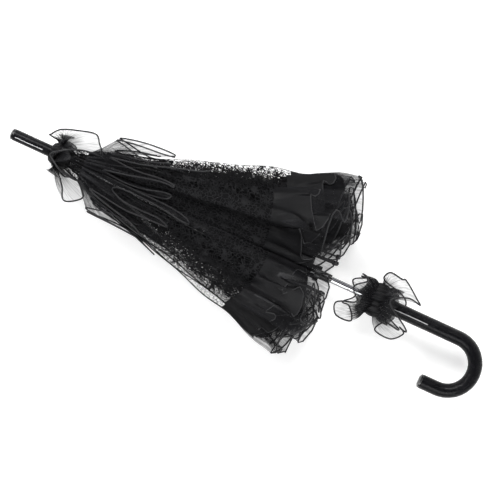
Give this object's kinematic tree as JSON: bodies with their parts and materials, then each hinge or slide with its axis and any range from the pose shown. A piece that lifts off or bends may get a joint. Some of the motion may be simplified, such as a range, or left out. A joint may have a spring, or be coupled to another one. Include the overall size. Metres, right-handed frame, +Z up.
{
  "type": "parasol",
  "caption": "Closed black lace parasol: chrome shaft, folding ribs on a sliding runner, ruffled lace canopy, wrapped crook handle.",
  "frame": {"origin": "centre of the ferrule's flat end face, on the shaft's axis", "axes": "+X along the shaft from the ferrule to the handle; +Z up from the surface the closed parasol lies on; the crook curls towards -Y"},
  "size_m": [0.6457, 0.2269, 0.1012],
  "materials": {
    "chrome_steel": "polished",
    "spring_steel": "bare",
    "black_plastic": "glossy black",
    "runner_metal": "black enamel",
    "black_wrap": "glossy, finely grained",
    "black_steel": "black enamel",
    "lace": "floral lace over a fine net",
    "organza": "sheer, crisp, corded edges"
  },
  "bodies": {
    "shaft": {"shaft_tube": "chrome_steel", "stop_pin": "chrome_steel", "ferrule_cap": "black_plastic", "ferrule_sleeve": "black_wrap", "crown_cap": "black_plastic", "crown_notch": "black_plastic", "crown_ruffle": "organza", "handle_collar": "black_plastic", "handle_crook": "black_wrap", "handle_end_cap": "black_plastic", "handle_ruffle": "organza"},
    "runner": {"runner": "runner_metal"},
    "bottom_catch": {"bottom_catch": "spring_steel"},
    "top_catch": {"top_catch": "spring_steel"},
    "rib_1": {"rib_1": "black_steel", "rib_tip_1": "black_plastic"},
    "stretcher_1": {"stretcher_1": "black_steel"},
    "gore_1_left": {"gore_1_left": "lace"},
    "gore_1_right": {"gore_1_right": "lace"},
    "rib_2": {"rib_2": "black_steel", "rib_tip_2": "black_plastic"},
    "stretcher_2": {"stretcher_2": "black_steel"},
    "gore_2_left": {"gore_2_left": "lace"},
    "gore_2_right": {"gore_2_right": "lace"},
    "rib_3": {"rib_3": "black_steel", "rib_tip_3": "black_plastic"},
    "stretcher_3": {"stretcher_3": "black_steel"},
    "gore_3_left": {"gore_3_left": "lace"},
    "gore_3_right": {"gore_3_right": "lace"},
    "rib_4": {"rib_4": "black_steel", "rib_tip_4": "black_plastic"},
    "stretcher_4": {"stretcher_4": "black_steel"},
    "gore_4_left": {"gore_4_left": "lace"},
    "gore_4_right": {"gore_4_right": "lace"},
    "rib_5": {"rib_5": "black_steel", "rib_tip_5": "black_plastic"},
    "stretcher_5": {"stretcher_5": "black_steel"},
    "gore_5_left": {"gore_5_left": "lace"},
    "gore_5_right": {"gore_5_right": "lace"},
    "rib_6": {"rib_6": "black_steel", "rib_tip_6": "black_plastic"},
    "stretcher_6": {"stretcher_6": "black_steel"},
    "gore_6_left": {"gore_6_left": "lace"},
    "gore_6_right": {"gore_6_right": "lace"},
    "rib_7": {"rib_7": "black_steel", "rib_tip_7": "black_plastic"},
    "stretcher_7": {"stretcher_7": "black_steel"},
    "gore_7_left": {"gore_7_left": "lace"},
    "gore_7_right": {"gore_7_right": "lace"},
    "rib_8": {"rib_8": "black_steel", "rib_tip_8": "black_plastic"},
    "stretcher_8": {"stretcher_8": "black_steel"},
    "gore_8_left": {"gore_8_left": "lace"},
    "gore_8_right": {"gore_8_right": "lace"}
  },
  "joints": [
    {"name": "runner_slide", "type": "slide", "parent": "shaft", "child": "runner", "axis": [-1, 0, 0], "range_m": [0, 0.11687], "deforming": ["gore_1_left", "gore_1_right", "gore_2_left", "gore_2_right", "gore_3_left", "gore_3_right", "gore_4_left", "gore_4_right", "gore_5_left", "gore_5_right", "gore_6_left", "gore_6_right", "gore_7_left", "gore_7_right", "gore_8_left", "gore_8_right"]},
    {"name": "rib_1_hinge", "type": "hinge", "parent": "shaft", "child": "rib_1", "pos_m": [0.072, 0.007, 0], "axis": [0, 0, 1], "range_deg": [0, 46.51]},
    {"name": "stretcher_1_hinge", "type": "hinge", "parent": "rib_1", "child": "stretcher_1", "pos_m": [0.24185, 0.01458, 0], "axis": [0, 0, 1], "range_deg": [-93.02, 0]},
    {"name": "gore_1_left_fold", "type": "hinge", "parent": "rib_1", "child": "gore_1_left", "pos_m": [0.07188, 0.009, 0], "axis": [0.9981, 0.061, 0], "range_deg": [0, 79.68]},
    {"name": "gore_1_right_fold", "type": "hinge", "parent": "rib_1", "child": "gore_1_right", "pos_m": [0.07188, 0.009, 0], "axis": [0.9981, 0.061, 0], "range_deg": [-104.16, 0]},
    {"name": "rib_2_hinge", "type": "hinge", "parent": "shaft", "child": "rib_2", "pos_m": [0.072, 0.00495, 0.00495], "axis": [0, -0.7071, 0.7071], "range_deg": [0, 46.51]},
    {"name": "stretcher_2_hinge", "type": "hinge", "parent": "rib_2", "child": "stretcher_2", "pos_m": [0.24185, 0.01031, 0.01031], "axis": [0, -0.7071, 0.7071], "range_deg": [-93.02, 0]},
    {"name": "gore_2_left_fold", "type": "hinge", "parent": "rib_2", "child": "gore_2_left", "pos_m": [0.07188, 0.00636, 0.00636], "axis": [0.9981, 0.0432, 0.0432], "range_deg": [0, 120.05]},
    {"name": "gore_2_right_fold", "type": "hinge", "parent": "rib_2", "child": "gore_2_right", "pos_m": [0.07188, 0.00636, 0.00636], "axis": [0.9981, 0.0432, 0.0432], "range_deg": [-72.75, 0]},
    {"name": "rib_3_hinge", "type": "hinge", "parent": "shaft", "child": "rib_3", "pos_m": [0.072, 0, 0.007], "axis": [0, -1, 0], "range_deg": [0, 46.51]},
    {"name": "stretcher_3_hinge", "type": "hinge", "parent": "rib_3", "child": "stretcher_3", "pos_m": [0.24185, 0, 0.01458], "axis": [0, -1, 0], "range_deg": [-93.02, 0]},
    {"name": "gore_3_left_fold", "type": "hinge", "parent": "rib_3", "child": "gore_3_left", "pos_m": [0.07188, 0, 0.009], "axis": [0.9981, 0, 0.061], "range_deg": [0, 34.73]},
    {"name": "gore_3_right_fold", "type": "hinge", "parent": "rib_3", "child": "gore_3_right", "pos_m": [0.07188, 0, 0.009], "axis": [0.9981, 0, 0.061], "range_deg": [-35.65, 0]},
    {"name": "rib_4_hinge", "type": "hinge", "parent": "shaft", "child": "rib_4", "pos_m": [0.072, -0.00495, 0.00495], "axis": [0, -0.7071, -0.7071], "range_deg": [0, 46.51]},
    {"name": "stretcher_4_hinge", "type": "hinge", "parent": "rib_4", "child": "stretcher_4", "pos_m": [0.24185, -0.01031, 0.01031], "axis": [0, -0.7071, -0.7071], "range_deg": [-93.02, 0]},
    {"name": "gore_4_left_fold", "type": "hinge", "parent": "rib_4", "child": "gore_4_left", "pos_m": [0.07188, -0.00636, 0.00636], "axis": [0.9981, -0.0432, 0.0432], "range_deg": [0, 66.89]},
    {"name": "gore_4_right_fold", "type": "hinge", "parent": "rib_4", "child": "gore_4_right", "pos_m": [0.07188, -0.00636, 0.00636], "axis": [0.9981, -0.0432, 0.0432], "range_deg": [-121.12, 0]},
    {"name": "rib_5_hinge", "type": "hinge", "parent": "shaft", "child": "rib_5", "pos_m": [0.072, -0.007, 0], "axis": [0, 0, -1], "range_deg": [0, 46.51]},
    {"name": "stretcher_5_hinge", "type": "hinge", "parent": "rib_5", "child": "stretcher_5", "pos_m": [0.24185, -0.01458, 0], "axis": [0, 0, -1], "range_deg": [-93.02, 0]},
    {"name": "gore_5_left_fold", "type": "hinge", "parent": "rib_5", "child": "gore_5_left", "pos_m": [0.07188, -0.009, 0], "axis": [0.9981, -0.061, 0], "range_deg": [0, 105.21]},
    {"name": "gore_5_right_fold", "type": "hinge", "parent": "rib_5", "child": "gore_5_right", "pos_m": [0.07188, -0.009, 0], "axis": [0.9981, -0.061, 0], "range_deg": [-85.69, 0]},
    {"name": "rib_6_hinge", "type": "hinge", "parent": "shaft", "child": "rib_6", "pos_m": [0.072, -0.00495, -0.00495], "axis": [0, 0.7071, -0.7071], "range_deg": [0, 46.51]},
    {"name": "stretcher_6_hinge", "type": "hinge", "parent": "rib_6", "child": "stretcher_6", "pos_m": [0.24185, -0.01031, -0.01031], "axis": [0, 0.7071, -0.7071], "range_deg": [-93.02, 0]},
    {"name": "gore_6_left_fold", "type": "hinge", "parent": "rib_6", "child": "gore_6_left", "pos_m": [0.07188, -0.00636, -0.00636], "axis": [0.9981, -0.0432, -0.0432], "range_deg": [0, 141.83]},
    {"name": "gore_6_right_fold", "type": "hinge", "parent": "rib_6", "child": "gore_6_right", "pos_m": [0.07188, -0.00636, -0.00636], "axis": [0.9981, -0.0432, -0.0432], "range_deg": [-48.72, 0]},
    {"name": "rib_7_hinge", "type": "hinge", "parent": "shaft", "child": "rib_7", "pos_m": [0.072, 0, -0.007], "axis": [0, 1, 0], "range_deg": [0, 46.51]},
    {"name": "stretcher_7_hinge", "type": "hinge", "parent": "rib_7", "child": "stretcher_7", "pos_m": [0.24185, 0, -0.01458], "axis": [0, 1, 0], "range_deg": [-93.02, 0]},
    {"name": "gore_7_left_fold", "type": "hinge", "parent": "rib_7", "child": "gore_7_left", "pos_m": [0.07188, 0, -0.009], "axis": [0.9981, 0, -0.061], "range_deg": [0, 17.32]},
    {"name": "gore_7_right_fold", "type": "hinge", "parent": "rib_7", "child": "gore_7_right", "pos_m": [0.07188, 0, -0.009], "axis": [0.9981, 0, -0.061], "range_deg": [-17.32, 0]},
    {"name": "rib_8_hinge", "type": "hinge", "parent": "shaft", "child": "rib_8", "pos_m": [0.072, 0.00495, -0.00495], "axis": [0, 0.7071, 0.7071], "range_deg": [0, 46.51]},
    {"name": "stretcher_8_hinge", "type": "hinge", "parent": "rib_8", "child": "stretcher_8", "pos_m": [0.24185, 0.01031, -0.01031], "axis": [0, 0.7071, 0.7071], "range_deg": [-93.02, 0]},
    {"name": "gore_8_left_fold", "type": "hinge", "parent": "rib_8", "child": "gore_8_left", "pos_m": [0.07188, 0.00636, -0.00636], "axis": [0.9981, 0.0432, -0.0432], "range_deg": [0, 49.66]},
    {"name": "gore_8_right_fold", "type": "hinge", "parent": "rib_8", "child": "gore_8_right", "pos_m": [0.07188, 0.00636, -0.00636], "axis": [0.9981, 0.0432, -0.0432], "range_deg": [-141.83, 0]},
    {"name": "bottom_catch_press", "type": "slide", "parent": "shaft", "child": "bottom_catch", "axis": [0, 0.3827, 0.9239], "range_m": [-0.002, 0], "stiffness_N_per_m": 400},
    {"name": "top_catch_press", "type": "slide", "parent": "shaft", "child": "top_catch", "axis": [0, 0.3827, 0.9239], "range_m": [-0.002, 0], "stiffness_N_per_m": 400}
  ],
  "couplings": [
    {"joint": "rib_1_hinge", "follows": "runner_slide", "rad_per_m": 6.9443},
    {"joint": "stretcher_1_hinge", "follows": "runner_slide", "rad_per_m": -13.889},
    {"joint": "gore_1_left_fold", "follows": "runner_slide", "rad_per_m": 11.896},
    {"joint": "gore_1_right_fold", "follows": "runner_slide", "rad_per_m": -15.553},
    {"joint": "rib_2_hinge", "follows": "runner_slide", "rad_per_m": 6.9443},
    {"joint": "stretcher_2_hinge", "follows": "runner_slide", "rad_per_m": -13.889},
    {"joint": "gore_2_left_fold", "follows": "runner_slide", "rad_per_m": 17.925},
    {"joint": "gore_2_right_fold", "follows": "runner_slide", "rad_per_m": -10.862},
    {"joint": "rib_3_hinge", "follows": "runner_slide", "rad_per_m": 6.9443},
    {"joint": "stretcher_3_hinge", "follows": "runner_slide", "rad_per_m": -13.889},
    {"joint": "gore_3_left_fold", "follows": "runner_slide", "rad_per_m": 5.1829},
    {"joint": "gore_3_right_fold", "follows": "runner_slide", "rad_per_m": -5.321},
    {"joint": "rib_4_hinge", "follows": "runner_slide", "rad_per_m": 6.9443},
    {"joint": "stretcher_4_hinge", "follows": "runner_slide", "rad_per_m": -13.889},
    {"joint": "gore_4_left_fold", "follows": "runner_slide", "rad_per_m": 9.9862},
    {"joint": "gore_4_right_fold", "follows": "runner_slide", "rad_per_m": -18.085},
    {"joint": "rib_5_hinge", "follows": "runner_slide", "rad_per_m": 6.9443},
    {"joint": "stretcher_5_hinge", "follows": "runner_slide", "rad_per_m": -13.889},
    {"joint": "gore_5_left_fold", "follows": "runner_slide", "rad_per_m": 15.709},
    {"joint": "gore_5_right_fold", "follows": "runner_slide", "rad_per_m": -12.794},
    {"joint": "rib_6_hinge", "follows": "runner_slide", "rad_per_m": 6.9443},
    {"joint": "stretcher_6_hinge", "follows": "runner_slide", "rad_per_m": -13.889},
    {"joint": "gore_6_left_fold", "follows": "runner_slide", "rad_per_m": 21.178},
    {"joint": "gore_6_right_fold", "follows": "runner_slide", "rad_per_m": -7.2723},
    {"joint": "rib_7_hinge", "follows": "runner_slide", "rad_per_m": 6.9443},
    {"joint": "stretcher_7_hinge", "follows": "runner_slide", "rad_per_m": -13.889},
    {"joint": "gore_7_left_fold", "follows": "runner_slide", "rad_per_m": 2.5842},
    {"joint": "gore_7_right_fold", "follows": "runner_slide", "rad_per_m": -2.5842},
    {"joint": "rib_8_hinge", "follows": "runner_slide", "rad_per_m": 6.9443},
    {"joint": "stretcher_8_hinge", "follows": "runner_slide", "rad_per_m": -13.889},
    {"joint": "gore_8_left_fold", "follows": "runner_slide", "rad_per_m": 7.4131},
    {"joint": "gore_8_right_fold", "follows": "runner_slide", "rad_per_m": -21.178}
  ]
}
